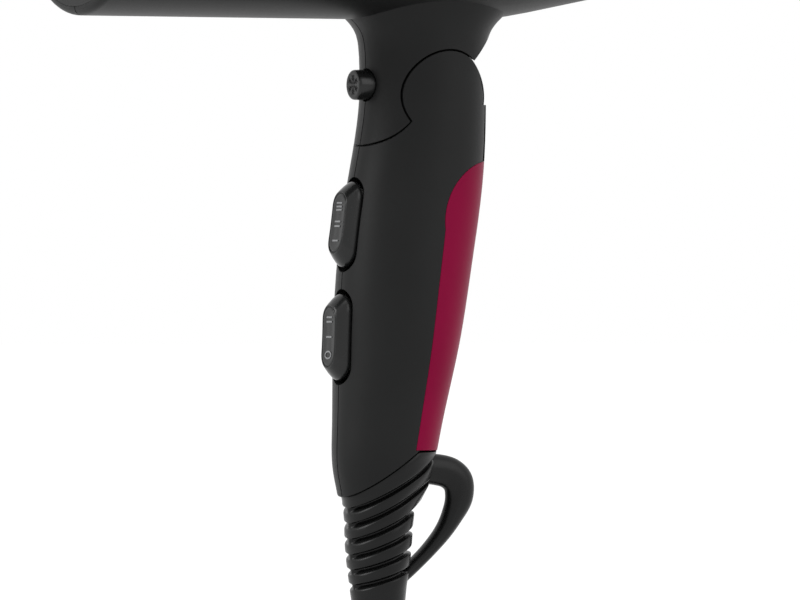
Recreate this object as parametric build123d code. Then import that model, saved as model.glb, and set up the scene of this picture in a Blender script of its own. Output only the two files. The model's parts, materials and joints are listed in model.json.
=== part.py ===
from build123d import *
import os
from math import cos, pi, radians, sin, sqrt

# Hair dryer with a folding handle.
# Millimetres, +Z up. The barrel lies along X with its outlet face at X = 0 and its axis at Z = 0.
# The handle hangs under the barrel. Its pieces are drawn about the fold pivot, then moved to it.

# Barrel
barrel_length = 190.0
barrel_radius = 37.0
outlet_taper = 0.5
barrel_wall = 2.6
outlet_rounding = 2.4
tail_fullness = 1.2
tail_bore_fullness = 0.6
tail_end_slope = -0.24
straight_end = 129.0
intake_step = 10.0
bore_end = 136.0

# Fold pivot
pivot_x = 118.0
pivot_drop = 23.0
fold_degrees = 90.0
disc_radius = 13.6
seam_gap = 0.6
cusp_degrees = 33.0
cusp_to_bend = (4.0, 4.2)
cusp_to_front = (10.0, 7.6)
back_seam_drop = 2.4
fold_room = 0.7
hinge_inner_half = 10.5
knuckle_depth = 19.0
knuckle_width = 16.9
knuckle_inner = 12.5
knuckle_start_degrees = -45.0
knuckle_end_degrees = 51.0
knuckle_pocket_degrees = 4.0
drum_outer = 15.6
drum_inner = 12.5
drum_start_degrees = 25.0
drum_end_degrees = 150.0
wire_hole_radius = 3.0
wire_hole_x = -4.0
wire_hole_low = 11.0
wire_hole_run_on = 3.0
hinge_pin_radius = 4.0
hinge_pin_half = 14.0
lug_radius = 7.5
lug_half = 5.0
neck_front = 2.0
neck_low = 2.0
neck_under_button = 0.9
pin_end_gap = 0.2
running_gap = 0.05
moving_gap = 0.4
seat_gap = 0.1

# Handle: height from the pivot, centre's set-back, half depth, half width
handle_sections = (
    (0.0, 0.0, 19.5, 17.4),
    (-25.0, -2.5, 21.1, 17.4),
    (-50.0, -6.2, 21.0, 17.7),
    (-75.0, -9.2, 19.4, 17.3),
    (-100.0, -12.4, 16.7, 15.2),
    (-112.0, -13.8, 15.2, 13.6),
    (-121.0, -14.7, 12.6, 11.8),
)
# Flare of the stub into the barrel: height from the pivot, growth of the half depth and half width
flare = (
    (32.0, 15.0, 3.0),
    (26.0, 8.5, 1.2),
    (22.5, 4.2, 0.6),
    (19.2, 1.5, 0.3),
    (15.5, 0.4, 0.1),
    (10.0, 0.0, 0.0),
)
handle_wall = 2.8
cavity_top = -12.0
hinge_room_low = -20.0
parting_gap = 0.4

# Oblique foot of the handle, where the boot begins
foot_front_drop = 121.0
foot_back_drop = 106.0
foot_back_x = -8.8
foot_front_x = -29.0
foot_gap = 0.35

# Rear grip inlay
inlay_depth = 1.6
inlay_gap = 0.12
inlay_set_back = 3.0
inlay_top_drop = 20.0
inlay_shoulder_drop = 40.0
inlay_edge_heights = (-58.0, -75.0, -92.0)
inlay_arc_forward = 4.6
inlay_arc_drop = 5.4
inlay_top_overrun = 2.0

# Rocker caps
heat_rocker_drop = 38.3
speed_rocker_drop = 72.0
rocker_length = 26.2
rocker_width = 10.4
rocker_chamfer = 0.9
rocker_rise = 3.8
rocker_pivot_depth = 6.5
rocker_sweep_radius = 14.7
rocker_skirt = 4.0
rocker_lug_half = 3.5
rocker_lug_under = 1.6
rocker_lug_top = -1.0
rocker_pin_radius = 1.25
rocker_opening_length = 28.8
rocker_opening_width = 11.4
rocker_opening_depth = 9.0
switch_plate = 1.6
switch_plate_drop = 2.7
switch_plate_overhang = 2.0
switch_body_length = 20.0
switch_body_width = 10.0
switch_body_height = 5.2
cheek = 1.5
cheek_half = 3.0
cheek_rise = 1.0
cheek_sunk = 0.5

# Cool shot button
button_height = 3.5
button_radius = 4.6
button_rise = 4.4
button_rounding = 0.7
button_stem_radius = 1.4
button_stem = 0.6
button_flange = 1.0
button_flange_radius = 5.5
button_wall = 3.6
cool_switch_depth = 3.2
cool_switch_half = 3.4
cool_switch_rise = 3.6
cool_switch_overlap = 0.5
spring_radius = 3.2
spring_inner = 2.4

# Boot and hanging loop
boot_x = -15.2
boot_sections = (
    (-98.0, -12.1, 16.9, 15.4),
    (-106.0, -13.1, 15.9, 14.4),
    (-114.0, -14.0, 14.4, 13.2),
    (-120.0, -14.7, 11.6, 11.2),
    (-126.0, -15.0, 10.4, 10.3),
    (-136.0, -15.2, 9.8, 9.8),
    (-150.0, -15.2, 8.2, 8.2),
    (-166.0, -15.2, 7.2, 7.2),
)
cord_radius = 3.5
clamp_height = 6.0
clamp_half_depth = 5.0
clamp_side_gap = 1.4
lead_radius = 1.2
lead_spread = 1.9
lead_end_gap = 1.0
clamp_bite = 0.3
groove_count = 6
first_groove_drop = 124.0
groove_pitch = 4.6
groove_width = 1.7
groove_depth = 1.7
groove_first_slant = 31.0
groove_last_slant = 19.0
groove_radius_first = 10.4
groove_radius_loss = 1.6
loop_half_width = 3.2
# Hanging loop: place from the pivot, heading of its line in degrees, half thickness
loop_sections = (
    (-6.0, -112.0, 0.0, 4.2),
    (-1.0, -111.9, 0.0, 4.2),
    (4.0, -112.1, -10.0, 4.2),
    (8.6, -113.7, -32.0, 4.1),
    (11.4, -117.0, -68.0, 4.0),
    (11.9, -121.0, -100.0, 3.8),
    (9.8, -126.0, -120.0, 3.2),
    (6.6, -130.9, -130.0, 2.6),
    (1.8, -136.0, -137.0, 2.2),
    (-3.6, -140.8, -140.0, 2.1),
    (-9.2, -145.3, -142.0, 2.1),
)

# Handle screws: height from the pivot and distance behind the handle's centre line
screw_places = ((-36.0, 10.0), (-70.0, 9.0), (-95.0, 6.5))
screw_radius = 1.4
screw_head_radius = 2.5
screw_head = 2.0
screw_head_y = 11.4
screw_tip_y = -9.0
cross_reach = 1.8
cross_half = 0.35
cross_depth = 0.8
boss_radius = 3.7
boss_overlap = 0.6
screw_head_room = 0.3

# Barrel internals
outlet_ring_wall = 3.9
outlet_ring_length = 12.0
grille_ring_shares = (0.73, 0.47)
grille_thickness = 2.5
grille_bar_half = 0.8
grille_bar_count = 6
grille_hub_radius = 6.0
grille_overlap = 1.0
sleeve_length = 66.0
sleeve_wall = 0.6
mica = 0.8
cross_end_gap = 4.0
thermostat_half = 5.0
thermostat_thickness = 4.5
thermostat_span = (4.0, 13.0)
fuse_radius = 1.8
fuse_half = 7.0
fuse_height = 8.0
coil_room = 10.9
coil_wire = 0.8
coil_count = 8
coil_pitch = 7.0
mount_start = 98.0
mount_wall = 1.6
vane_count = 7
vane_thickness = 1.4
vane_end_gap = 4.0
vane_overlap = 0.4
motor_radius = 14.8
motor_length = 30.0
motor_start = 106.0
board_thickness = 1.6
board_edge_gap = 1.0
board_hole_gap = 1.5
diode_count = 4
diode_half = 1.2
diode_height = 2.0
diode_span = (7.0, 12.0)
shaft_radius = 1.5
shaft_end_gap = 1.0
press_gap = 0.02
nut_radius = 3.4
nut_height = 3.0
fan_start = 141.0
fan_depth = 12.0
fan_room = 5.9
fan_hub_radius = 9.0
blade_count = 9
blade_thickness = 1.3
blade_degrees = 38.0
blade_end_gap = 1.0
cap_depth = 10.0
cap_wall = 2.4
cap_lip = 6.0
cap_lip_wall = 1.8
cap_shoulder = (0.45, 1.6)
cap_crown = (0.8, 6.0)
cap_crown_wall = 1.0
intake_hole_radius = 1.5
intake_hole_rings = ((5.0, 6), (10.0, 12), (15.0, 18))
filter_thickness = 0.8
filter_edge_gap = 0.4

pivot_z = -barrel_radius - pivot_drop
pivot = Pos(pivot_x, 0, pivot_z)
outlet_radius = barrel_radius - outlet_taper
intake_radius = barrel_radius - intake_step
bore_radius = outlet_radius - barrel_wall
outlet_bore = bore_radius - outlet_ring_wall
coil_radius = bore_radius - coil_room
fan_radius = bore_radius - fan_room
lug_top = button_height - button_radius + neck_under_button
far = 300.0
past = 1.0
run_on_share = 0.3


def save(name, shape):
    """Write one piece to its own file."""
    export_step(shape, "parts/" + name + ".step")


def between(low, high):
    """A box from its lowest to its highest corner."""
    size = [b - a for a, b in zip(low, high)]
    middle = [(a + b) / 2 for a, b in zip(low, high)]
    return Pos(*middle) * Box(*size)


def rod(radius, start, end):
    """A round bar from one point to another."""
    line = Vector(*end) - Vector(*start)
    plane = Plane(origin=start, z_dir=line)
    return plane * Cylinder(radius, line.length, align=(Align.CENTER, Align.CENTER, Align.MIN))


def tube(outer, inner, start, end):
    """A round tube along X about the barrel's axis."""
    return rod(outer, (start, 0, 0), (end, 0, 0)) - rod(inner, (start - past, 0, 0), (end + past, 0, 0))


def turned(points):
    """A solid turned about the barrel's axis from a closed outline of X and radius."""
    return revolve(make_face(Polyline(*points, close=True)), Axis.X)


def slab(face, half):
    """A side outline in X and Z, made solid across Y."""
    return extrude(face, amount=half, dir=(0, 1, 0), both=True)


def outline(*points):
    """A straight-sided face in X and Z."""
    return make_face(Polyline(*[(x, 0, z) for x, z in points], close=True))


def oval(height, centre, half_depth, half_width):
    return Pos(centre, 0, height) * Ellipse(half_depth, half_width)


def run_on(end, beside, steps):
    """An oval past the end of a form, carrying on more gently than its last two."""
    height = end[0] + (end[0] - beside[0]) * steps
    return (height, *[a + (a - b) * steps * run_on_share for a, b in zip(end[1:], beside[1:])])


def form(rows):
    """A smooth solid through ovals from top to bottom. It runs past both ends and is cut back there."""
    before = [run_on(rows[0], rows[1], steps) for steps in (3, 2, 1)]
    after = [run_on(rows[-1], rows[-2], steps) for steps in (1, 2, 3)]
    whole = loft([oval(*row) for row in (*before, *rows, *after)])
    return whole & between((-far, -far, rows[-1][0]), (far, far, rows[0][0]))


top_centre, top_depth, top_width = handle_sections[0][1:]
body_rows = [(z, top_centre, top_depth + deep, top_width + wide) for z, deep, wide in flare]
body_rows += handle_sections
body_forms = {}


def body_form(inset):
    """The shape that the stub and the handle share, or the same shape drawn in by an inset."""
    if inset not in body_forms:
        body_forms[inset] = form([(z, x, a - inset, b - inset) for z, x, a, b in body_rows])
    return body_forms[inset]


def section_at(height):
    """Centre, half depth and half width of the handle at a height."""
    for high, low in zip(body_rows, body_rows[1:]):
        if low[0] <= height <= high[0]:
            share = (high[0] - height) / (high[0] - low[0])
            return [a + (b - a) * share for a, b in zip(high[1:], low[1:])]
    return list(body_rows[-1][1:])


def seam_region(grow):
    """Everything on the handle's side of the fold seam, as a side outline."""
    angle = radians(cusp_degrees)
    cusp = (-disc_radius * cos(angle), 0, -disc_radius * sin(angle) + grow)
    bend = (cusp[0] - cusp_to_bend[0], 0, cusp[2] - cusp_to_bend[1])
    front = (cusp[0] - cusp_to_front[0], 0, cusp[2] - cusp_to_front[1])
    arc = ThreePointArc(cusp, bend, front)
    back = -back_seam_drop + grow
    low_front = (-far, 0, front[2] - disc_radius)
    rest = Polyline(front, low_front, (-far, 0, -far), (far, 0, -far), (far, 0, back), (0, 0, back), cusp)
    below = slab(make_face(Wire([*arc.edges(), *rest.edges()])), far)
    return below + rod(disc_radius + grow, (0, -far, 0), (0, far, 0))


def swept(profile, first, last):
    """A profile turned about the pivot, between two angles from the rearward direction."""
    axis = Axis((0, 0, 0), (0, -1, 0))
    return revolve(Rot(0, -first, 0) * profile, axis, last - first)


def knuckle(grow, first, last):
    """A round-backed block over the stub's drum, or the pocket that it moves in."""
    inner = knuckle_inner - grow
    profile = Ellipse(knuckle_depth + grow, knuckle_width + grow)
    profile &= Pos(inner + far / 2, 0) * Rectangle(far, far)
    drum_room = drum_outer + moving_gap - grow
    profile -= Rectangle(2 * drum_room, 2 * (hinge_inner_half - grow))
    return swept(profile, first, last)


def drum():
    """A round cheek on the stub, between the handle's two discs, that closes the hinge from above."""
    middle = (drum_inner + drum_outer) / 2
    profile = Pos(middle, 0) * Rectangle(drum_outer - drum_inner, 2 * (hinge_inner_half - moving_gap))
    return swept(profile, drum_start_degrees, drum_end_degrees)


def halves(name, shape):
    """Split a shell at the middle plane into its left and right halves."""
    edge = parting_gap / 2
    save(name + "_left", shape & between((-far, -far, -far), (far, -edge, far)))
    save(name + "_right", shape & between((-far, edge, -far), (far, far, far)))


def rocker_plane(drop):
    """On the handle's front line: X up along the line, Z outwards."""
    reach = rocker_length / 2
    ends = []
    for height in (-drop - reach, -drop + reach):
        centre, half_depth, half_width = section_at(height)
        ends.append(Vector(centre - half_depth, 0, height))
    up = ends[1] - ends[0]
    centre, half_depth, half_width = section_at(-drop)
    return Plane(origin=(centre - half_depth, 0, -drop), x_dir=up, z_dir=(-up.Z, 0, up.X))


# Barrel housing and hinge stub
def barrel_outside():
    front = Line((0, 0), (0, outlet_radius - outlet_rounding))
    lip = ThreePointArc(
        (0, outlet_radius - outlet_rounding),
        (outlet_rounding * (1 - sqrt(0.5)), outlet_radius - outlet_rounding * (1 - sqrt(0.5))),
        (outlet_rounding, outlet_radius),
    )
    side = Line((outlet_rounding, outlet_radius), (straight_end, barrel_radius))
    slope = (barrel_radius - outlet_radius) / (straight_end - outlet_rounding)
    tail = Spline(
        (straight_end, barrel_radius),
        ((straight_end + barrel_length) / 2, (barrel_radius + intake_radius) / 2 + tail_fullness),
        (barrel_length, intake_radius),
        tangents=((1, slope), (1, tail_end_slope)),
    )
    back = Line((barrel_length, intake_radius), (barrel_length, 0))
    axis = Line((barrel_length, 0), (0, 0))
    wire = Wire([*front.edges(), *lip.edges(), *side.edges(), *tail.edges(), *back.edges(), *axis.edges()])
    return revolve(make_face(wire), Axis.X)


def barrel_inside():
    mouth = intake_radius - barrel_wall
    middle_x = (bore_end + barrel_length) / 2
    return turned(
        (
            (-past, 0),
            (-past, bore_radius),
            (bore_end, bore_radius),
            (middle_x, (bore_radius + mouth) / 2 + tail_bore_fullness),
            (barrel_length + past, mouth),
            (barrel_length + past, 0),
        )
    )


def button_axis_x():
    """The stub's front face at the button."""
    centre, half_depth, half_width = section_at(button_height)
    return centre - half_depth


def make_housing():
    stub = body_form(0) - seam_region(seam_gap)
    rearward = Plane(origin=(0, 0, 0), x_dir=(0, 1, 0), z_dir=(1, 0, 0))
    folded_handle = rearward * Ellipse(top_width + fold_room, top_depth + fold_room)
    stub -= extrude(folded_handle, amount=far)
    pocket_end = knuckle_end_degrees + fold_degrees + knuckle_pocket_degrees
    stub -= knuckle(moving_gap, 0, pocket_end)
    stub += drum()
    neck_start = (-disc_radius - neck_front, -lug_half, -lug_radius + neck_low)
    neck = between(neck_start, (0, lug_half, lug_top))
    stub += rod(lug_radius, (0, -lug_half, 0), (0, lug_half, 0)) + neck
    stub -= rod(hinge_pin_radius + running_gap, (0, -hinge_inner_half, 0), (0, hinge_inner_half, 0))
    face = button_axis_x()
    wall_back = face + button_wall
    hole_front = (face - 2 * button_rise, 0, button_height)
    stub -= rod(button_radius + moving_gap, hole_front, (wall_back + past, 0, button_height))
    flange_hole = button_flange_radius + moving_gap
    stub -= rod(flange_hole, (wall_back, 0, button_height), (-lug_radius, 0, button_height))
    shell = barrel_outside() + pivot * stub
    shell -= barrel_inside()
    wire_hole_top = pivot_drop + barrel_wall + wire_hole_run_on
    wires = rod(wire_hole_radius, (wire_hole_x, 0, wire_hole_low), (wire_hole_x, 0, wire_hole_top))
    shell -= pivot * wires
    halves("housing", shell)


# Handle shells
def inlay_region(grow):
    """Side outline of the rear grip inlay."""
    low = -foot_back_drop - grow + inlay_gap
    points = []
    for height in (-inlay_shoulder_drop, *inlay_edge_heights, low):
        points.append((section_at(height)[0] + inlay_set_back - grow, height))
    top_x = section_at(-inlay_top_drop)[0] + section_at(-inlay_top_drop)[1]
    shoulder = points[0]
    top = (top_x + inlay_top_overrun, 0, -inlay_top_drop + grow)
    mid = (shoulder[0] + inlay_arc_forward, 0, -inlay_top_drop - inlay_arc_drop + grow)
    arc = ThreePointArc(top, mid, (shoulder[0], 0, shoulder[1]))
    rest = [(x, 0, z) for x, z in points] + [(far, 0, low), (far, 0, top[2]), top]
    return slab(make_face(Wire([*arc.edges(), *Polyline(*rest).edges()])), far)


def foot_region(shift):
    """Everything below the handle's oblique foot, moved down by a shift."""
    return slab(
        outline(
            (-far, -foot_front_drop - shift),
            (foot_front_x, -foot_front_drop - shift),
            (foot_back_x, -foot_back_drop - shift),
            (far, -foot_back_drop - shift),
            (far, -far),
            (-far, -far),
        ),
        far,
    )


def screw_spots():
    return [(section_at(height)[0] + behind, height) for height, behind in screw_places]


def make_handle():
    outside = body_form(0) & seam_region(0)
    cavity = body_form(handle_wall) & between((-far, -far, -far), (far, far, cavity_top))
    rear_wall = top_depth - handle_wall
    room_low = (-rear_wall, -hinge_inner_half, hinge_room_low)
    hinge_room = between(room_low, (rear_wall, hinge_inner_half, far))
    shell = outside - cavity - hinge_room
    for x, height in screw_spots():
        boss = rod(boss_radius, (x, -far, height), (x, far, height)) & body_form(handle_wall - boss_overlap)
        shell += boss
    shell -= foot_region(0)
    shell -= inlay_region(inlay_gap) - body_form(inlay_depth + inlay_gap)
    shell += knuckle(0, knuckle_start_degrees, knuckle_end_degrees)
    pin_room = hinge_pin_half + pin_end_gap
    shell -= rod(hinge_pin_radius + running_gap, (0, -pin_room, 0), (0, pin_room, 0))
    for x, height in screw_spots():
        shell -= rod(screw_radius + running_gap, (x, screw_tip_y - past, height), (x, screw_head_y, height))
        head_floor = screw_head_y - screw_head
        shell -= rod(screw_head_radius + screw_head_room, (x, head_floor, height), (x, far, height))
    for drop in (heat_rocker_drop, speed_rocker_drop):
        slot_face = SlotOverall(rocker_opening_length, rocker_opening_width)
        slot = extrude(slot_face, amount=rocker_opening_depth, both=True)
        shell -= rocker_plane(drop) * slot
    halves("handle", pivot * shell)
    inlay = (body_form(0) & inlay_region(0)) - body_form(inlay_depth)
    save("grip_inlay", pivot * inlay)


def make_hinge_pin():
    save("hinge_pin", pivot * rod(hinge_pin_radius, (0, -hinge_pin_half, 0), (0, hinge_pin_half, 0)))


def make_screws():
    screws = []
    for x, height in screw_spots():
        head_floor = screw_head_y - screw_head
        screw = rod(screw_head_radius, (x, head_floor, height), (x, screw_head_y, height))
        screw += rod(screw_radius, (x, screw_tip_y, height), (x, head_floor, height))
        for across, along in ((cross_reach, cross_half), (cross_half, cross_reach)):
            cross_low = (x - across, screw_head_y - cross_depth, height - along)
            screw -= between(cross_low, (x + across, screw_head_y + past, height + along))
        screws.append(pivot * screw)
    save("handle_screws", Compound(screws))


# Rocker caps and their switches
def make_rocker(name, drop):
    plane = rocker_plane(drop)
    pin_depth = -rocker_pivot_depth
    pin_line = ((0, -far, pin_depth), (0, far, pin_depth))
    cap = extrude(SlotOverall(rocker_length, rocker_width), amount=rocker_rise)
    cap += extrude(SlotOverall(rocker_length, rocker_width), amount=-rocker_skirt)
    cap &= rod(rocker_sweep_radius, *pin_line)
    top = cap.faces().sort_by(Axis.Z)[-1]
    cap = chamfer(top.edges(), rocker_chamfer)
    half = rocker_width / 2
    lug_low = pin_depth - rocker_lug_under
    cap += between((-rocker_lug_half, -half, lug_low), (rocker_lug_half, half, rocker_lug_top))
    cap -= rod(rocker_pin_radius + running_gap, *pin_line)
    save(name + "_rocker", pivot * (plane * cap))

    plate_top = pin_depth - switch_plate_drop
    plate_low = plate_top - switch_plate
    body_low = plate_low - switch_body_height
    cheek_in = rocker_width / 2 + moving_gap
    cheek_out = cheek_in + cheek
    half_length = switch_body_length / 2
    centre, half_depth, half_width = section_at(-drop)
    inside_depth = half_depth - handle_wall
    reach = (half_depth + plate_top) / inside_depth
    plate_half = (half_width - handle_wall) * sqrt(1 - reach * reach) - 4 * seat_gap
    plate_reach = half_length + switch_plate_overhang
    frame = between((-plate_reach, -plate_half, plate_low), (plate_reach, plate_half, plate_top))
    half_body = switch_body_width / 2
    frame += between((-half_length, -half_body, body_low), (half_length, half_body, plate_low))
    for side in (-1, 1):
        edges = sorted((side * cheek_in, side * cheek_out))
        cheek_top = pin_depth + rocker_pin_radius + cheek_rise
        cheek_low = plate_top - cheek_sunk
        frame += between((-cheek_half, edges[0], cheek_low), (cheek_half, edges[1], cheek_top))
    frame -= rod(rocker_pin_radius + running_gap, *pin_line)
    save(name + "_switch", pivot * (plane * frame))
    pin = rod(rocker_pin_radius, (0, -cheek_out, pin_depth), (0, cheek_out, pin_depth))
    save(name + "_rocker_pin", pivot * (plane * pin))


# Cool shot button
def make_button():
    face = button_axis_x()
    flange_front = face + button_wall + seat_gap
    flange_back = flange_front + button_flange
    height = button_height
    button = rod(button_radius, (face - button_rise, 0, height), (flange_back, 0, height))
    front = button.faces().sort_by(Axis.X)[0]
    button = fillet(front.edges(), button_rounding)
    button += rod(button_flange_radius, (flange_front, 0, height), (flange_back, 0, height))
    stem_end = flange_back + button_stem
    button += rod(button_stem_radius, (flange_back, 0, height), (stem_end, 0, height))
    save("cool_shot_button", pivot * button)
    switch_back = -lug_radius + cool_switch_overlap
    switch_front = switch_back - cool_switch_depth
    switch_top = height + cool_switch_rise
    body = between((switch_front, -cool_switch_half, lug_top), (switch_back, cool_switch_half, switch_top))
    body -= rod(lug_radius + seat_gap, (0, -far, 0), (0, far, 0))
    save("cool_shot_switch", pivot * body)
    spring = rod(spring_radius, (flange_back, 0, height), (switch_front, 0, height))
    spring -= rod(spring_inner, (flange_back - past, 0, height), (switch_front + past, 0, height))
    save("cool_shot_spring", pivot * spring)


# Cord boot with its hanging loop
def make_boot():
    body = form(boot_sections) & foot_region(foot_gap)
    core = form([(z, x, a - groove_depth, b - groove_depth) for z, x, a, b in boot_sections])
    for number in range(groove_count):
        share = number / (groove_count - 1)
        slant = groove_first_slant + (groove_last_slant - groove_first_slant) * share
        front_height = -first_groove_drop - groove_pitch * number
        radius = groove_radius_first - groove_radius_loss * share
        middle = front_height + radius * sin(radians(slant)) / cos(radians(slant))
        disc = Cylinder(2 * boot_sections[0][2], groove_width)
        body -= Pos(boot_x, 0, middle) * Rot(0, -slant, 0) * disc - core
    sections = []
    for x, height, heading, half in loop_sections:
        direction = (cos(radians(heading)), 0, sin(radians(heading)))
        plane = Plane(origin=(x, 0, height), x_dir=(0, 1, 0), z_dir=direction)
        sections.append(plane * Ellipse(loop_half_width, half))
    loop = loft(sections)
    body += loop
    body -= rod(cord_radius, (boot_x, 0, -far), (boot_x, 0, 0))
    save("cord_boot", pivot * body)


def make_clamp():
    low = -foot_back_drop
    top = low + clamp_height
    half = section_at(low)[2] - handle_wall - 4 * seat_gap - clamp_side_gap
    clamp = between((boot_x - clamp_half_depth, -half, low), (boot_x + clamp_half_depth, half, top))
    clamp -= rod(cord_radius - clamp_bite, (boot_x, 0, low - past), (boot_x, 0, top + past))
    save("cord_clamp", pivot * clamp)
    lead_top = -speed_rocker_drop - switch_body_length / 2 - switch_plate_overhang - lead_end_gap
    leads = []
    for y in (-lead_spread, lead_spread):
        leads.append(pivot * rod(lead_radius, (boot_x, y, low), (boot_x, y, lead_top)))
    save("mains_leads", Compound(leads))


# Outlet, heater, motor and fan
def make_outlet():
    save("outlet_ring", tube(bore_radius - seat_gap, outlet_bore, 0, outlet_ring_length))
    start = outlet_ring_length
    end = start + grille_thickness
    grille = tube(bore_radius - seat_gap, outlet_bore - grille_overlap, start, end)
    half = grille_bar_half
    for share in grille_ring_shares:
        radius = outlet_bore * share
        grille += tube(radius + half, radius - half, start, end)
    grille += rod(grille_hub_radius, (start, 0, 0), (end, 0, 0))
    for number in range(grille_bar_count):
        bar = between((start, -half, grille_hub_radius - grille_overlap), (end, half, outlet_bore))
        grille += Rot(360 / grille_bar_count * number, 0, 0) * bar
    save("outlet_grille", grille)


def make_heater():
    start = outlet_ring_length + grille_thickness + seat_gap
    end = start + sleeve_length
    inner = bore_radius - seat_gap - sleeve_wall
    save("mica_sleeve", tube(bore_radius - seat_gap, inner, start, end))
    half = inner - 2 * seat_gap
    first = start + cross_end_gap
    last = end - cross_end_gap
    cross = between((first, -half, -mica / 2), (last, half, mica / 2))
    cross += between((first, -mica / 2, -half), (last, mica / 2, half))
    coils = []
    coil_first = (first + last - coil_pitch * (coil_count - 1)) / 2
    for number in range(coil_count):
        spot = Pos(coil_first + coil_pitch * number, 0, 0) * Rot(0, 90, 0)
        coils.append(spot * Torus(coil_radius, coil_wire))
        cross -= spot * Torus(coil_radius, coil_wire + running_gap)
    save("heater_cross", cross)
    save("heating_coils", Compound(coils))
    middle = (first + last) / 2
    edge = mica / 2
    thermostat_low = (middle - thermostat_half, edge, thermostat_span[0])
    thermostat_high = (middle + thermostat_half, edge + thermostat_thickness, thermostat_span[1])
    save("thermostat", between(thermostat_low, thermostat_high))
    fuse_y = -edge - fuse_radius
    fuse_start = (middle - fuse_half, fuse_y, fuse_height)
    fuse = rod(fuse_radius, fuse_start, (middle + fuse_half, fuse_y, fuse_height))
    save("thermal_fuse", fuse)


def make_motor():
    outer = bore_radius - seat_gap
    sleeve_in = motor_radius + seat_gap
    mount = tube(outer, outer - mount_wall, mount_start, bore_end)
    mount += tube(sleeve_in + mount_wall, sleeve_in, motor_start, motor_start + motor_length)
    half = vane_thickness / 2
    vane_low = (motor_start + vane_end_gap, -half, sleeve_in + vane_overlap)
    vane_high = (bore_end - vane_end_gap, half, outer - vane_overlap)
    for number in range(vane_count):
        mount += Rot(360 / vane_count * number, 0, 0) * between(vane_low, vane_high)
    save("motor_mount", mount)
    motor_end = motor_start + motor_length
    motor = rod(motor_radius, (motor_start, 0, 0), (motor_end, 0, 0))
    motor -= rod(shaft_radius + running_gap, (motor_start - past, 0, 0), (motor_end + past, 0, 0))
    save("motor", motor)
    board_face = motor_start - board_thickness
    board = tube(motor_radius - board_edge_gap, shaft_radius + board_hole_gap, board_face, motor_start)
    diode_low = (board_face - diode_height, -diode_half, diode_span[0])
    diode = between(diode_low, (board_face, diode_half, diode_span[1]))
    for number in range(diode_count):
        board += Rot(360 / diode_count * (number + 0.5), 0, 0) * diode
    save("rectifier_board", board)
    fan_end = fan_start + fan_depth
    nut_end = fan_end + nut_height
    shaft_start = (motor_start + shaft_end_gap, 0, 0)
    save("motor_shaft", rod(shaft_radius, shaft_start, (nut_end + shaft_end_gap, 0, 0)))
    fan = rod(fan_hub_radius, (fan_start, 0, 0), (fan_end, 0, 0))
    middle = (fan_start + fan_end) / 2
    blade_half = (fan_depth / 2 - blade_end_gap) / cos(radians(blade_degrees))
    for number in range(blade_count):
        blade = between((-blade_half, -blade_thickness / 2, 0), (blade_half, blade_thickness / 2, fan_radius))
        blade = Rot(0, 0, blade_degrees) * blade
        fan += Rot(360 / blade_count * number, 0, 0) * (Pos(middle, 0, 0) * blade)
    fan &= rod(fan_radius, (fan_start, 0, 0), (fan_end, 0, 0))
    fan -= rod(shaft_radius + press_gap, (fan_start - past, 0, 0), (fan_end + past, 0, 0))
    save("fan", fan)
    nut = Pos(fan_end, 0, 0) * Rot(0, 90, 0) * extrude(RegularPolygon(nut_radius, 6), amount=nut_height)
    nut -= rod(shaft_radius + press_gap, (fan_end - past, 0, 0), (nut_end + past, 0, 0))
    save("fan_nut", nut)


def make_intake():
    lip_radius = intake_radius - barrel_wall - seat_gap
    end = barrel_length
    rise = cap_depth - cap_wall
    crown_x = end + cap_crown[0] * rise
    crown_radius = intake_radius - cap_crown[1]
    shell = turned(
        (
            (end - cap_lip, lip_radius - cap_lip_wall),
            (end - cap_lip, lip_radius),
            (end + seat_gap, lip_radius),
            (end + seat_gap, intake_radius),
            (end + cap_shoulder[0] * rise, intake_radius - cap_shoulder[1]),
            (crown_x, crown_radius),
            (end + rise, 0),
            (end + rise - cap_wall, 0),
            (crown_x - cap_wall, crown_radius - cap_crown_wall),
            (end, lip_radius - cap_lip_wall),
        )
    )
    for ring, count in intake_hole_rings:
        for number in range(count):
            angle = 2 * pi * number / count
            y, z = ring * cos(angle), ring * sin(angle)
            shell -= rod(intake_hole_radius, (end - past, y, z), (end + cap_depth, y, z))
    save("intake_grille", shell)
    filter_end = end - cap_lip
    mesh = rod(lip_radius - filter_edge_gap, (filter_end - filter_thickness, 0, 0), (filter_end, 0, 0))
    save("dust_filter", mesh)


os.makedirs("parts", exist_ok=True)
make_housing()
make_handle()
make_hinge_pin()
make_screws()
make_rocker("heat", heat_rocker_drop)
make_rocker("speed", speed_rocker_drop)
make_button()
make_boot()
make_clamp()
make_outlet()
make_heater()
make_motor()
make_intake()
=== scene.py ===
import json
from math import cos, pi, radians, sin, tan

import bmesh
import bpy
from mathutils import Matrix, Vector


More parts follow.
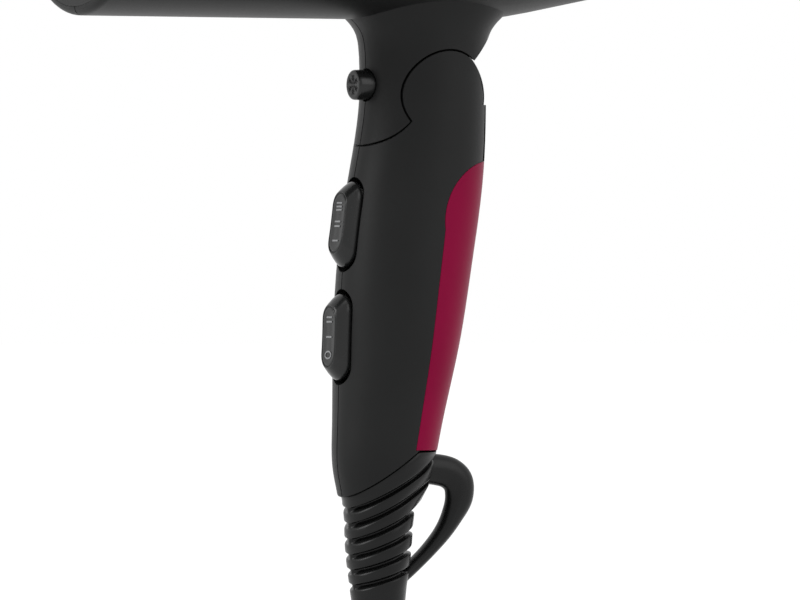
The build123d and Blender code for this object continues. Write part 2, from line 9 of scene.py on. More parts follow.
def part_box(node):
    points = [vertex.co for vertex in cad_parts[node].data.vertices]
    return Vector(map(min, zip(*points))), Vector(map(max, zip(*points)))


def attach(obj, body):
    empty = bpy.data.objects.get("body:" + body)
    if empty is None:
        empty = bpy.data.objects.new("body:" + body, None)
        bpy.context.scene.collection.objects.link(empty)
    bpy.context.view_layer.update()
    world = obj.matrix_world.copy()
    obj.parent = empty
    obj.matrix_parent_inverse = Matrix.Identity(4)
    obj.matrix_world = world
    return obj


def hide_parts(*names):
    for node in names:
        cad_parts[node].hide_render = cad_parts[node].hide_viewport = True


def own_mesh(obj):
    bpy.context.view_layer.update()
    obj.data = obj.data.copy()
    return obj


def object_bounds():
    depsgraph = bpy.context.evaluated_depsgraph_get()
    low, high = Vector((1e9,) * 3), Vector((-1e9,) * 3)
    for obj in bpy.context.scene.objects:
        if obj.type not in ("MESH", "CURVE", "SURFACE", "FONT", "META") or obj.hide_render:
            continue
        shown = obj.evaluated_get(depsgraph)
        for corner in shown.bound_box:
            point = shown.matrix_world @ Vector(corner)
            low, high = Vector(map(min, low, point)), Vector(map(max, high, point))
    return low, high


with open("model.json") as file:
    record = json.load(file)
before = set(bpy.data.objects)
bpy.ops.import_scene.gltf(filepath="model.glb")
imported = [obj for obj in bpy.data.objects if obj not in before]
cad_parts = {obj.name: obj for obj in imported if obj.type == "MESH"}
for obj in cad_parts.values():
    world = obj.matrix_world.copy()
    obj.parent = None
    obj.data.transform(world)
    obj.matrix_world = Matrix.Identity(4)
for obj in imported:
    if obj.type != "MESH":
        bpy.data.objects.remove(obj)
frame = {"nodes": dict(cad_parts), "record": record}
cad_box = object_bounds()
nodes = frame["nodes"]

# Blender works in metres. Sizes of the part are written in millimetres and scaled by this.
MM = 0.001
PIVOT = Vector((118.0, 0.0, -60.0)) * MM

# The photograph's view
VIEW_AZIMUTH = radians(-29.0)
VIEW_TARGET = Vector((0.1121, 0.0033, -0.1209))
VIEW_DISTANCE = 5.0
VIEW_WIDTH = 0.24
SENSOR_WIDTH = 36.0

# Front line of the handle: height from the pivot and set-back
HANDLE_FRONT = ((0.0, -19.5), (-25.0, -23.6), (-50.0, -27.2), (-75.0, -28.6), (-100.0, -29.1))

# Rocker caps
ROCKER_DROPS = {"heat": 38.3, "speed": 72.0}
ROCKER_REACH = 13.1
# Height over the handle's front line, half length and half width, from the skirt up to the face
ROCKER_LOOPS = (
    (-3.2, 12.9, 5.05),
    (0.0, 13.05, 5.15),
    (0.5, 13.0, 5.15),
    (1.7, 12.0, 5.0),
    (2.9, 10.7, 4.72),
    (3.6, 9.85, 4.45),
    (3.85, 9.5, 4.25),
    (3.87, 9.3, 4.1),
    (3.4, 9.1, 3.98),
    (3.4, 8.93, 3.84),
    (3.84, 8.74, 3.7),
    (3.82, 8.2, 3.3),
    (3.74, 6.6, 2.2),
    (3.68, 5.4, 1.0),
)
FACE_HOLLOW = 0.22
# Bars on each face: distance up the cap
ROCKER_BARS = {"heat": (6.0, 4.9, 3.9, 0.4, -1.0, -5.4), "speed": (5.8, 4.45, -0.1)}
BAR_SIZE = (0.52, 3.3)
RING_PLACE = -5.5
RING_SIZE = (1.3, 2.0)
RING_LINE = 0.5
RING_STEPS = 40
# Loops from the first dipped one on follow the hollow of the face, which starts at the face loop
FIRST_DIPPED_LOOP = 5
FACE_LOOP = -4
# Height of the printed marks over the face
MARK_LIFT = 0.03

# Cool shot button
BUTTON_HEIGHT = 3.5
BUTTON_RADIUS = 4.6
BUTTON_FRONT = -23.9
BUTTON_BACK = -14.8
FLANGE_RADIUS = 5.4
FLANGE_FRONT = -15.7
BUTTON_CORE = 1.4
BUTTON_SIDES = 48
# Snowflake on the button: height over its face, arms, and the branches on each arm
FLAKE_LIFT = 0.01
FLAKE_ARMS = 6
FLAKE_HUB = 0.45
ARM_LENGTH = 2.9
ARM_LINE = 0.42
BRANCH_PLACES = (0.5, 0.78)
BRANCH_LENGTH = 0.95
BRANCH_LEAN = radians(48.0)
BRANCH_LINE = ARM_LINE * 0.85

# Cord boot: height from the pivot, centre's set-back, half depth, half width
BOOT_SECTIONS = (
    (-98.0, -12.1, 16.9, 15.4),
    (-106.0, -13.1, 15.9, 14.4),
    (-114.0, -14.0, 14.4, 13.2),
    (-120.0, -14.7, 11.6, 11.2),
    (-126.0, -15.0, 10.4, 10.3),
    (-136.0, -15.2, 9.8, 9.8),
    (-150.0, -15.2, 8.2, 8.2),
    (-166.0, -15.2, 7.2, 7.2),
)
BOOT_X = -15.2
BOOT_END = -166.0
BOOT_SIDES = 96
# Rounds that settle where a slanted row crosses the boot's outline
SETTLE_ROUNDS = 12
FOOT_FRONT = (-29.0, -121.35)
FOOT_BACK = (-8.8, -106.35)
GROOVE_COUNT = 6
FIRST_GROOVE = -124.0
GROOVE_PITCH = 4.6
GROOVE_HALF = 0.85
GROOVE_DEPTH = 2.1
GROOVE_SLANTS = (31.0, 19.0)
# Half depth of the boot at the first groove, and what it loses by the last
GROOVE_RADIUS = BOOT_SECTIONS[4][2]
GROOVE_TAPER = 1.6
# The web down the boot's front line, as angles round the boot's axis
WEB_HALF = radians(3.0)
WEB_FADE = radians(13.0)
CORD_RADIUS = 3.5
# The bore's mouth and depth: height over the boot's end, and what the cord's radius gains there
BORE_ROWS = ((0.0, 0.5), (0.3, 0.1), (24.0, 0.0))
SHOULDER_TOP = -110.0
SHOULDER_HEIGHT = -119.0
SHOULDER_LOW = -124.5
SHOULDER_RISE = 2.2
# Hanging loop: place from the pivot, heading of its line in degrees, half thickness
LOOP_SECTIONS = (
    (-6.0, -112.0, 0.0, 4.2),
    (-1.0, -111.6, 0.0, 4.6),
    (4.0, -111.7, -8.0, 4.7),
    (9.2, -112.9, -30.0, 4.9),
    (12.3, -115.9, -62.0, 5.0),
    (12.4, -120.8, -98.0, 4.4),
    (9.9, -126.0, -120.0, 3.3),
    (6.6, -130.9, -130.0, 2.6),
    (1.8, -136.0, -137.0, 2.2),
    (-3.6, -140.8, -140.0, 2.1),
    (-9.2, -145.3, -142.0, 2.1),
)
LOOP_HALF_WIDTH = 3.2
LOOP_STEPS = 7
LOOP_SIDES = 32


# Meshes
def circle(count):
    """Equally spaced angles round a full turn."""
    return [2 * pi * step / count for step in range(count)]


def new_piece(name, mesh, body, material):
    """Put a mesh into the scene as a piece that rides on a body."""
    piece = bpy.data.objects.new(name, mesh)
    bpy.context.collection.objects.link(piece)
    mesh.materials.append(material)
    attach(piece, body)
    return piece


def mesh_from(name, points, faces, smooth=True):
    mesh = bpy.data.meshes.new(name)
    mesh.from_pydata([tuple(point) for point in points], [], faces)
    mesh.validate()
    builder = bmesh.new()
    builder.from_mesh(mesh)
    bmesh.ops.recalc_face_normals(builder, faces=builder.faces)
    builder.to_mesh(mesh)
    builder.free()
    for polygon in mesh.polygons:
        polygon.use_smooth = smooth
    return mesh


def skin(rows):
    """Faces between closed rows of equally many points, and over both ends."""
    count = len(rows[0])
    points = [point for row in rows for point in row]
    faces = []
    for row in range(len(rows) - 1):
        for spot in range(count):
            after = (spot + 1) % count
            faces.append(
                (row * count + spot, row * count + after, (row + 1) * count + after, (row + 1) * count + spot)
            )
    faces.append(tuple(range(count)))
    last = (len(rows) - 1) * count
    faces.append(tuple(range(last, last + count)))
    return points, faces


def smoother(piece, levels):
    change = piece.modifiers.new("smooth", "SUBSURF")
    change.levels = levels
    change.render_levels = levels


def between_rows(rows, height):
    """Values at a height, on a smooth curve through rows that run downwards."""
    for place in range(len(rows) - 1):
        high, low = rows[place], rows[place + 1]
        if height >= low[0] or place == len(rows) - 2:
            share = (high[0] - height) / (high[0] - low[0])
            share = min(max(share, 0.0), 1.0)
            before = rows[max(place - 1, 0)]
            after = rows[min(place + 2, len(rows) - 1)]
            values = []
            for p0, p1, p2, p3 in zip(before[1:], high[1:], low[1:], after[1:]):
                values.append(catmull(p0, p1, p2, p3, share))
            return values


def catmull(p0, p1, p2, p3, share):
    near = 2 * p1 + (p2 - p0) * share
    far = (2 * p0 - 5 * p1 + 4 * p2 - p3) * share ** 2
    return (near + far + (3 * p1 - p0 - 3 * p2 + p3) * share ** 3) / 2


def blend(first, last, share):
    return first + (last - first) * share


def ease(value):
    value = min(max(value, 0.0), 1.0)
    return value * value * (3 - 2 * value)


# Materials
# Most of a noise lies between these two values
NOISE_LOW = 0.3
NOISE_HIGH = 0.7
NOISE_DETAIL = 3.0
# Patches of slightly uneven colour, in features per metre
CLOUD_SCALE = 45.0
BUMP_STRENGTH = 0.6
EDGE_SAMPLES = 6


def tree_of(name):
    material = bpy.data.materials.new(name)
    material.use_nodes = True
    tree = material.node_tree
    return material, tree, tree.nodes["Principled BSDF"]


def noise(tree, scale, stretch=None):
    """Noise in the part's own frame, its scale in features per metre."""
    place = tree.nodes.new("ShaderNodeTexCoord").outputs["Object"]
    if stretch:
        mapping = tree.nodes.new("ShaderNodeMapping")
        mapping.inputs["Scale"].default_value = stretch
        tree.links.new(place, mapping.inputs["Vector"])
        place = mapping.outputs["Vector"]
    node = tree.nodes.new("ShaderNodeTexNoise")
    node.inputs["Scale"].default_value = scale
    node.inputs["Detail"].default_value = NOISE_DETAIL
    tree.links.new(place, node.inputs["Vector"])
    return node.outputs["Fac"]


def spread(tree, value, low, high):
    """A noise spread between two values."""
    node = tree.nodes.new("ShaderNodeMapRange")
    node.inputs["From Min"].default_value = NOISE_LOW
    node.inputs["From Max"].default_value = NOISE_HIGH
    node.inputs["To Min"].default_value = low
    node.inputs["To Max"].default_value = high
    tree.links.new(value, node.inputs["Value"])
    return node.outputs["Result"]


def colour_between(tree, value, dark, light):
    node = tree.nodes.new("ShaderNodeMix")
    node.data_type = "RGBA"
    node.inputs["A"].default_value = (*dark, 1)
    node.inputs["B"].default_value = (*light, 1)
    tree.links.new(value, node.inputs["Factor"])
    return node.outputs["Result"]


def surface(name, dark, light, roughness, grain, depth, specular, metallic=0.0, edge=0.0, stretch=None):
    """A surface with uneven colour, uneven gloss, a fine grain and, where it has one, a softened edge."""
    material, tree, shader = tree_of(name)
    cloudy = spread(tree, noise(tree, CLOUD_SCALE), 0.0, 1.0)
    tree.links.new(colour_between(tree, cloudy, dark, light), shader.inputs["Base Color"])
    fine = noise(tree, grain, stretch)
    tree.links.new(spread(tree, fine, *roughness), shader.inputs["Roughness"])
    shader.inputs["Specular IOR Level"].default_value = specular
    shader.inputs["Metallic"].default_value = metallic
    bump = tree.nodes.new("ShaderNodeBump")
    bump.inputs["Strength"].default_value = BUMP_STRENGTH
    bump.inputs["Distance"].default_value = depth * MM
    tree.links.new(fine, bump.inputs["Height"])
    if edge:
        rounding = tree.nodes.new("ShaderNodeBevel")
        rounding.samples = EDGE_SAMPLES
        rounding.inputs["Radius"].default_value = edge * MM
        tree.links.new(rounding.outputs["Normal"], bump.inputs["Normal"])
    tree.links.new(bump.outputs["Normal"], shader.inputs["Normal"])
    return material


def tint(colour, change):
    """A colour made darker or lighter by a factor."""
    return tuple(channel * change for channel in colour)


BLACK = (0.0085, 0.0088, 0.0088)
MAGENTA = (0.28, 0.0028, 0.045)
materials = {
    "body_plastic": surface(
        "satin_black", tint(BLACK, 0.85), tint(BLACK, 1.15), (0.42, 0.5), 2600.0, 0.006, 0.17, edge=0.25
    ),
    "magenta_plastic": surface(
        "satin_magenta", tint(MAGENTA, 0.93), tint(MAGENTA, 1.07), (0.36, 0.44), 2600.0, 0.006, 0.06, edge=0.2
    ),
    "boot_rubber": surface(
        "boot_rubber", tint(BLACK, 0.55), tint(BLACK, 0.8), (0.26, 0.36), 1800.0, 0.01, 0.2
    ),
    "trim_plastic": surface(
        "trim_black", tint(BLACK, 0.9), tint(BLACK, 1.3), (0.34, 0.44), 2400.0, 0.008, 0.2, edge=0.2
    ),
    "button_plastic": surface(
        "button_black", tint(BLACK, 1.2), tint(BLACK, 1.6), (0.2, 0.28), 2400.0, 0.005, 0.3, edge=0.12
    ),
    "fan_plastic": surface(
        "fan_black", tint(BLACK, 1.6), tint(BLACK, 2.4), (0.4, 0.5), 1500.0, 0.01, 0.4
    ),
    "inner_plastic": surface(
        "inner_plastic", (0.5, 0.48, 0.43), (0.6, 0.58, 0.52), (0.45, 0.6), 1500.0, 0.012, 0.4
    ),
    "mica": surface(
        "mica_board", (0.5, 0.44, 0.34), (0.68, 0.62, 0.52), (0.25, 0.55), 420.0, 0.02, 0.5
    ),
    "heater_wire": surface(
        "heater_wire", (0.2, 0.17, 0.15), (0.42, 0.38, 0.34), (0.3, 0.45), 900.0, 0.01, 0.5, metallic=1.0
    ),
    "mesh_steel": surface(
        "filter_mesh", (0.14, 0.14, 0.145), (0.24, 0.24, 0.245), (0.35, 0.5), 1300.0, 0.12, 0.5, metallic=1.0
    ),
    "bright_metal": surface(
        "bright_steel", (0.5, 0.5, 0.51), (0.64, 0.64, 0.66), (0.2, 0.34), 900.0, 0.006, 0.5, metallic=1.0,
        stretch=(0.06, 1.0, 1.0)
    ),
    "circuit_board": surface(
        "circuit_board", (0.02, 0.085, 0.03), (0.035, 0.13, 0.05), (0.3, 0.42), 700.0, 0.02, 0.5
    ),
    "lead_rubber": surface(
        "lead_rubber", tint(BLACK, 1.2), tint(BLACK, 1.8), (0.42, 0.55), 1500.0, 0.01, 0.4
    ),
}
mark_print = surface(
    "pale_print", (0.2, 0.205, 0.21), (0.26, 0.265, 0.27), (0.45, 0.55), 3000.0, 0.004, 0.4
)
mark_dark = surface(
    "dark_print", (0.0022, 0.0022, 0.0023), (0.0035, 0.0035, 0.0036), (0.5, 0.6), 3000.0, 0.004, 0.2
)

for subpart in frame["record"]["subparts"]:
    mesh = nodes[subpart["node"]].data
    mesh.materials.clear()
    mesh.materials.append(materials[subpart["material_slot"]])


# Rocker caps
def front_at(height):
    """Set-back of the handle's front line at a height."""
    for high, low in zip(HANDLE_FRONT, HANDLE_FRONT[1:]):
        if height >= low[0]:
            return blend(high[1], low[1], (high[0] - height) / (high[0] - low[0]))


def rocker_frame(drop):
    """From a cap's own axes (up the cap, across it, outwards) to the part's frame."""
    lean = front_at(-drop + ROCKER_REACH) - front_at(-drop - ROCKER_REACH)
    up = Vector((lean, 0, 2 * ROCKER_REACH)).normalized()
    out = Vector((-up.z, 0, up.x))
    across = out.cross(up)
    spot = PIVOT + Vector((front_at(-drop), 0, -drop)) * MM
    turn = Matrix((up, across, out)).transposed().to_4x4()
    return Matrix.Translation(spot) @ turn @ Matrix.Scale(MM, 4)


def slot_points(half_length, half_width, arc_steps=14, side_steps=6):
    """A long rounded outline."""
    straight = half_length - half_width
    points = []
    for step in range(arc_steps):
        angle = -pi / 2 + pi * step / arc_steps
        points.append((straight + half_width * cos(angle), half_width * sin(angle)))
    for step in range(side_steps):
        points.append((blend(straight, -straight, step / side_steps), half_width))
    for step in range(arc_steps):
        angle = pi / 2 + pi * step / arc_steps
        points.append((-straight + half_width * cos(angle), half_width * sin(angle)))
    for step in range(side_steps):
        points.append((blend(-straight, straight, step / side_steps), -half_width))
    return points


def hollow_at(along):
    """How far the face dips at a distance up the cap."""
    reach = ROCKER_LOOPS[FACE_LOOP][1]
    return FACE_HOLLOW * max(0.0, 1 - (along / reach) ** 2)


def mark_height(along):
    """Height of the marks at a distance up the cap."""
    return ROCKER_LOOPS[FACE_LOOP][0] - hollow_at(along) + MARK_LIFT


for name, drop in ROCKER_DROPS.items():
    placed = rocker_frame(drop)
    rows = []
    for number, (height, half_length, half_width) in enumerate(ROCKER_LOOPS):
        dipped = number >= FIRST_DIPPED_LOOP
        row = []
        for along, across in slot_points(half_length, half_width):
            dip = hollow_at(along) if dipped else 0.0
            row.append(placed @ Vector((along, across, height - dip)))
        rows.append(row)
    mesh = mesh_from(name + "_rocker_cap", *skin(rows))
    cap = new_piece(name + "_rocker_cap", mesh, name + "_cap", materials["button_plastic"])
    smoother(cap, 1)
    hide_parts(name + "_rocker")

    points, faces = [], []
    for along in ROCKER_BARS[name]:
        first = len(points)
        half_line, half_bar = BAR_SIZE[0] / 2, BAR_SIZE[1] / 2
        for x_side, y_side in ((-1, -1), (1, -1), (1, 1), (-1, 1)):
            x = along + x_side * half_line
            points.append(placed @ Vector((x, y_side * half_bar, mark_height(x))))
        faces.append((first, first + 1, first + 2, first + 3))
    if name == "speed":
        first = len(points)
        for angle in circle(RING_STEPS):
            for line in (0.0, RING_LINE):
                x = RING_PLACE + (RING_SIZE[0] - line) * cos(angle)
                y = (RING_SIZE[1] - line) * sin(angle)
                points.append(placed @ Vector((x, y, mark_height(x))))
        for step in range(RING_STEPS):
            near_pair = first + 2 * step
            next_pair = first + 2 * ((step + 1) % RING_STEPS)
            faces.append((near_pair, near_pair + 1, next_pair + 1, next_pair))
    mesh = mesh_from(name + "_marks", points, faces, False)
    new_piece(name + "_marks", mesh, name + "_cap", mark_print)


# Cool shot button: place along its axis and radius, from the back of its flange to its face
BUTTON_PROFILE = (
    (BUTTON_BACK, BUTTON_CORE),
    (BUTTON_BACK, FLANGE_RADIUS - 0.1),
    (BUTTON_BACK, FLANGE_RADIUS),
    (FLANGE_FRONT, FLANGE_RADIUS),
    (FLANGE_FRONT, FLANGE_RADIUS - 0.1),
    (FLANGE_FRONT, BUTTON_RADIUS + 0.05),
    (FLANGE_FRONT - 0.1, BUTTON_RADIUS - 0.02),
    (BUTTON_FRONT + 1.0, BUTTON_RADIUS - 0.02),
    (BUTTON_FRONT + 0.45, BUTTON_RADIUS - 0.08),
    (BUTTON_FRONT + 0.16, BUTTON_RADIUS - 0.28),
    (BUTTON_FRONT + 0.04, BUTTON_RADIUS - 0.6),
    (BUTTON_FRONT, BUTTON_RADIUS - 0.95),
    (BUTTON_FRONT + 0.05, BUTTON_RADIUS - 1.4),
    (BUTTON_FRONT + 0.08, BUTTON_CORE),
)
rows = []
for x, radius in BUTTON_PROFILE:
    row = []
    for angle in circle(BUTTON_SIDES):
        row.append(PIVOT + Vector((x, radius * cos(angle), BUTTON_HEIGHT + radius * sin(angle))) * MM)
    rows.append(row)
button = new_piece(
    "cool_button_cap", mesh_from("cool_button_cap", *skin(rows)), "cool_button",
    materials["button_plastic"],
)
smoother(button, 1)
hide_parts("cool_shot_button")


def stroke(points, faces, start, end, line):
    """One straight stroke on the button's face, from point to point in its own plane."""
    along = Vector((end[0] - start[0], end[1] - start[1])).normalized()
    side = Vector((-along.y, along.x)) * line / 2
    first = len(points)
    for spot, sign in ((start, -1), (end, -1), (end, 1), (start, 1)):
        y, z = spot[0] + sign * side.x, spot[1] + sign * side.y
        points.append(PIVOT + Vector((BUTTON_FRONT - FLAKE_LIFT, y, BUTTON_HEIGHT + z)) * MM)
    faces.append((first, first + 1, first + 2, first + 3))


points, faces = [], []
for arm in range(FLAKE_ARMS):
    angle = radians(90 + 360 / FLAKE_ARMS * arm)
    tip = (ARM_LENGTH * cos(angle), ARM_LENGTH * sin(angle))
    stroke(points, faces, (FLAKE_HUB * cos(angle), FLAKE_HUB * sin(angle)), tip, ARM_LINE)
    for share in BRANCH_PLACES:
        root = (tip[0] * share, tip[1] * share)
        for side in (-1, 1):
            lean = angle + side * BRANCH_LEAN
            end = (root[0] + BRANCH_LENGTH * cos(lean), root[1] + BRANCH_LENGTH * sin(lean))
            stroke(points, faces, root, end, BRANCH_LINE)
mesh = mesh_from("cool_button_flake", points, faces, False)
new_piece("cool_button_flake", mesh, "cool_button", mark_dark)


# Cord boot
def foot_height(x):
    """Height of the handle's slanted lower edge."""
    slope = (FOOT_BACK[1] - FOOT_FRONT[1]) / (FOOT_BACK[0] - FOOT_FRONT[0])
    return min(max(FOOT_FRONT[1], FOOT_FRONT[1] + (x - FOOT_FRONT[0]) * slope), FOOT_BACK[1])


def groove_line(number):
    """Height of a groove's middle at the boot's axis, and the slope of its ring."""
    share = number / (GROOVE_COUNT - 1)
    slope = tan(radians(blend(*GROOVE_SLANTS, share)))
    radius = GROOVE_RADIUS - GROOVE_TAPER * share
    return FIRST_GROOVE - GROOVE_PITCH * number + radius * slope, slope


def boot_point(angle, height_of, inset):
    """A point of the boot where a slanted row crosses one direction round its axis."""
    x = BOOT_X
    for settle in range(SETTLE_ROUNDS):
        height = height_of(x)
        centre, deep, wide = between_rows(BOOT_SECTIONS, height)
        x = centre + (deep - inset + shoulder_at(angle, height)) * cos(angle)
    return PIVOT + Vector((x, (wide - inset) * sin(angle), height_of(x))) * MM


def shoulder_at(angle, height):
    """The boot's back stands out under the root of the loop."""
    rise = ease((SHOULDER_TOP - height) / (SHOULDER_TOP - SHOULDER_HEIGHT))
    fall = ease((height - SHOULDER_LOW) / (SHOULDER_HEIGHT - SHOULDER_LOW))
    return SHOULDER_RISE * rise * fall * max(0.0, cos(angle)) ** 2


def groove_depth_at(angle):
    """The grooves run out at a narrow web down the boot's front line."""
    from_front = abs(pi - angle)
    return ease((from_front - WEB_HALF) / WEB_FADE)


def ring_height(number, offset):
    middle, slope = groove_line(number)
    return lambda x: middle + offset + (x - BOOT_X) * slope


def between_heights(first, last, share):
    return lambda x: blend(first(x), last(x), share)


# Across one groove: offset in half widths, and share of its depth
GROOVE_PROFILE = (
    (1.75, -0.06), (1.3, 0.0), (1.0, 0.16), (0.8, 0.62), (0.5, 0.95), (0.0, 1.0), (-0.5, 0.95), (-0.8, 0.62),
    (-1.0, 0.16), (-1.3, 0.0), (-1.75, -0.06),
)
PLUG_RISE = 1.2
PLUG_INSET = 3.2
FOOT_INSET = 0.9
# Rows from the foot to the first groove and from the last groove to the end: share of the way, and inset
UPPER_ROWS = ((0.02, 0.25), (0.08, 0.0), (0.4, 0.0), (0.8, 0.0))
LOWER_ROWS = ((0.15, 0.0), (0.4, 0.0), (0.7, 0.0), (0.95, 0.0), (0.99, 0.15))
END_INSETS = (0.6, 1.4)


def plug_height(x):
    """The boot reaches a little way up inside the handle."""
    return foot_height(x) + PLUG_RISE


def boot_end(x):
    return BOOT_END


# The boot's rows from top to bottom: height, inset, and whether the front web fills the inset
first_edge = ring_height(0, GROOVE_PROFILE[0][0] * GROOVE_HALF)
boot_rows = [(plug_height, PLUG_INSET, False), (foot_height, PLUG_INSET, False)]
boot_rows.append((foot_height, FOOT_INSET, False))
for share, inset in UPPER_ROWS:
    boot_rows.append((between_heights(foot_height, first_edge, share), inset, False))
for number in range(GROOVE_COUNT):
    for offset, share in GROOVE_PROFILE:
        boot_rows.append((ring_height(number, offset * GROOVE_HALF), share * GROOVE_DEPTH, share > 0))
last_edge = ring_height(GROOVE_COUNT - 1, GROOVE_PROFILE[-1][0] * GROOVE_HALF)
for share, inset in LOWER_ROWS:
    boot_rows.append((between_heights(last_edge, boot_end, share), inset, False))
for inset in END_INSETS:
    boot_rows.append((boot_end, inset, False))
rows = []
for height_of, inset, webbed in boot_rows:
    row = []
    for angle in circle(BOOT_SIDES):
        row.append(boot_point(angle, height_of, inset * (groove_depth_at(angle) if webbed else 1)))
    rows.append(row)
for rise, gain in BORE_ROWS:
    radius = CORD_RADIUS + gain
    row = []
    for angle in circle(BOOT_SIDES):
        spot = Vector((BOOT_X + radius * cos(angle), radius * sin(angle), BOOT_END + rise))
        row.append(PIVOT + spot * MM)
    rows.append(row)
boot = new_piece(
    "boot_body", mesh_from("boot_body", *skin(rows)), "handle", materials["boot_rubber"]
)
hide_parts("cord_boot")

rows = []
for place in range(len(LOOP_SECTIONS) - 1):
    four = [LOOP_SECTIONS[min(max(place + shift, 0), len(LOOP_SECTIONS) - 1)] for shift in (-1, 0, 1, 2)]
    last = place == len(LOOP_SECTIONS) - 2
    for step in range(LOOP_STEPS + (1 if last else 0)):
        share = step / LOOP_STEPS
        x, height, heading, half = [catmull(*[section[axis] for section in four], share) for axis in range(4)]
        side = Vector((-sin(radians(heading)), 0, cos(radians(heading))))
        row = []
        for angle in circle(LOOP_SIDES):
            wide = LOOP_HALF_WIDTH * cos(angle)
            row.append(PIVOT + (Vector((x, wide, height)) + side * half * sin(angle)) * MM)
        rows.append(row)
new_piece("boot_loop", mesh_from("boot_loop", *skin(rows)), "handle", materials["boot_rubber"])


# Wire: the heater's winding and the spring behind the button
def wire_rows(path, radius, sides):
    """Rows round a wire through points, each with a direction across the wire."""
    rows = []
    for place, (point, across) in enumerate(path):
        ahead = path[min(place + 1, len(path) - 1)][0] - path[max(place - 1, 0)][0]
        other = ahead.cross(across).normalized()
        row = []
        for angle in circle(sides):
            row.append(point + (across * cos(angle) + other * sin(angle)) * radius * MM)
        rows.append(row)
    return rows


HEATER_RINGS = 8
RING_HALF = 0.8
HEATER_TURNS = 84
HEATER_TURN_STEPS = 8
HEATER_WIRE = 0.24
HEATER_WIRE_SIDES = 5
low_corner, high_corner = [Vector(corner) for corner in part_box("heating_coils")]
ring_radius = high_corner.z - RING_HALF * MM
ring_pitch = (high_corner.x - low_corner.x - 2 * RING_HALF * MM) / (HEATER_RINGS - 1)
points, faces = [], []
for ring in range(HEATER_RINGS):
    path = []
    steps = HEATER_TURNS * HEATER_TURN_STEPS
    for step in range(steps + 1):
        around_ring = 2 * pi * step / steps
        turn = 2 * pi * step / HEATER_TURN_STEPS
        outwards = Vector((0, cos(around_ring), sin(around_ring)))
        across = outwards * cos(turn) + Vector((1, 0, 0)) * sin(turn)
        middle = Vector((low_corner.x + RING_HALF * MM + ring_pitch * ring, 0, 0)) + outwards * ring_radius
        path.append((middle + across * (RING_HALF - HEATER_WIRE) * MM, across))
    ring_points, ring_faces = skin(wire_rows(path, HEATER_WIRE, HEATER_WIRE_SIDES))
    shift = len(points)
    points += ring_points
    faces += [tuple(corner + shift for corner in face) for face in ring_faces]
mesh = mesh_from("heater_winding", points, faces)
winding = new_piece("heater_winding", mesh, "housing", materials["heater_wire"])
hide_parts("heating_coils")

SPRING_TURNS = 4
SPRING_TURN_STEPS = 20
SPRING_WIRE = 0.36
SPRING_WIRE_SIDES = 8
low_corner, high_corner = [Vector(corner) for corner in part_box("cool_shot_spring")]
spring_middle = (low_corner + high_corner) / 2
spring_radius = (high_corner.z - low_corner.z) / 2 - SPRING_WIRE * MM
spring_run = high_corner.x - low_corner.x - 2 * SPRING_WIRE * MM
path = []
steps = SPRING_TURNS * SPRING_TURN_STEPS
for step in range(steps + 1):
    turn = 2 * pi * SPRING_TURNS * step / steps
    across = Vector((0, cos(turn), sin(turn)))
    along = low_corner.x + SPRING_WIRE * MM + spring_run * step / steps
    path.append((Vector((along, spring_middle.y, spring_middle.z)) + across * spring_radius, across))
mesh = mesh_from("cool_spring_wire", *skin(wire_rows(path, SPRING_WIRE, SPRING_WIRE_SIDES)))
spring = new_piece("cool_spring_wire", mesh, "housing", materials["bright_metal"])
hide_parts("cool_shot_spring")
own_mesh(spring)


# Floor, background, light and camera
def white_for_looking(tree):
    """1 for rays that show the background, 0 for those that only light the object."""
    path = tree.nodes.new("ShaderNodeLightPath")
    total = path.outputs["Is Camera Ray"]
    for name in ("Is Glossy Ray", "Is Transmission Ray"):
        node = tree.nodes.new("ShaderNodeMath")
        node.operation = "MAXIMUM"
        tree.links.new(total, node.inputs[0])
        tree.links.new(path.outputs[name], node.inputs[1])
        total = node.outputs["Value"]
    return total


FLOOR_REACH = 30.0
FLOOR_PALE = 0.35
FLOOR_GLOW = 0.8
floor_height = cad_box[0][2]
corners = []
for x_side, y_side in ((-1, -1), (1, -1), (1, 1), (-1, 1)):
    corners.append((x_side * FLOOR_REACH, y_side * FLOOR_REACH, floor_height))
floor_mesh = mesh_from("floor", corners, [(0, 1, 2, 3)], False)
floor = bpy.data.objects.new("floor", floor_mesh)
bpy.context.collection.objects.link(floor)
floor_material = bpy.data.materials.new("pale_floor")
floor_material.use_nodes = True
tree = floor_material.node_tree
tree.nodes.remove(tree.nodes["Principled BSDF"])
dull = tree.nodes.new("ShaderNodeBsdfDiffuse")
dull.inputs["Color"].default_value = (FLOOR_PALE, FLOOR_PALE, FLOOR_PALE, 1)
glow = tree.nodes.new("ShaderNodeEmission")
strength = tree.nodes.new("ShaderNodeMath")
strength.operation = "MULTIPLY"
strength.inputs[1].default_value = FLOOR_GLOW
tree.links.new(white_for_looking(tree), strength.inputs[0])
tree.links.new(strength.outputs["Value"], glow.inputs["Strength"])
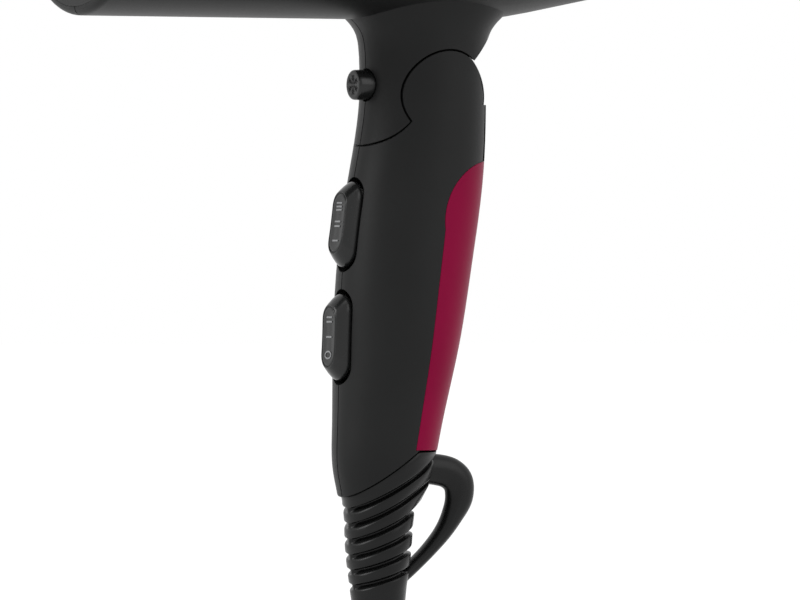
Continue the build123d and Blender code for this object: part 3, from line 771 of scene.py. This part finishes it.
both = tree.nodes.new("ShaderNodeAddShader")
tree.links.new(dull.outputs["BSDF"], both.inputs[0])
tree.links.new(glow.outputs["Emission"], both.inputs[1])
tree.links.new(both.outputs["Shader"], tree.nodes["Material Output"].inputs["Surface"])
floor_mesh.materials.append(floor_material)

AMBIENT = 0.75
world = bpy.data.worlds.new("studio")
bpy.context.scene.world = world
world.use_nodes = True
tree = world.node_tree
sky = tree.nodes["Background"]
sky.inputs["Color"].default_value = (1, 1, 1, 1)
level = tree.nodes.new("ShaderNodeMapRange")
level.inputs["To Min"].default_value = AMBIENT
level.inputs["To Max"].default_value = 1.0
tree.links.new(white_for_looking(tree), level.inputs["Value"])
tree.links.new(level.outputs["Result"], sky.inputs["Strength"])


def lamp(name, azimuth, elevation, distance, size, power):
    """A soft square lamp aimed at the middle of the view."""
    light = bpy.data.lights.new(name, "AREA")
    light.size = size
    light.energy = power
    lamp_object = bpy.data.objects.new(name, light)
    bpy.context.collection.objects.link(lamp_object)
    a, e = radians(azimuth), radians(elevation)
    direction = Vector((sin(a) * cos(e), -cos(a) * cos(e), sin(e)))
    lamp_object.location = VIEW_TARGET + direction * distance
    lamp_object.rotation_euler = direction.to_track_quat("Z", "Y").to_euler()


lamp("key", azimuth=-95.0, elevation=30.0, distance=1.2, size=0.7, power=8.0)
lamp("fill", azimuth=35.0, elevation=25.0, distance=1.4, size=0.9, power=3.5)
lamp("top", azimuth=-20.0, elevation=80.0, distance=1.3, size=0.9, power=3.0)

camera_data = bpy.data.cameras.new("camera")
camera_data.sensor_width = SENSOR_WIDTH
camera_data.lens = SENSOR_WIDTH * VIEW_DISTANCE / VIEW_WIDTH
camera = bpy.data.objects.new("camera", camera_data)
bpy.context.collection.objects.link(camera)
camera.location = VIEW_TARGET + Vector((sin(VIEW_AZIMUTH), -cos(VIEW_AZIMUTH), 0)) * VIEW_DISTANCE
camera.rotation_euler = (pi / 2, 0, VIEW_AZIMUTH)
bpy.context.scene.camera = camera
bpy.context.scene.view_settings.view_transform = "Standard"
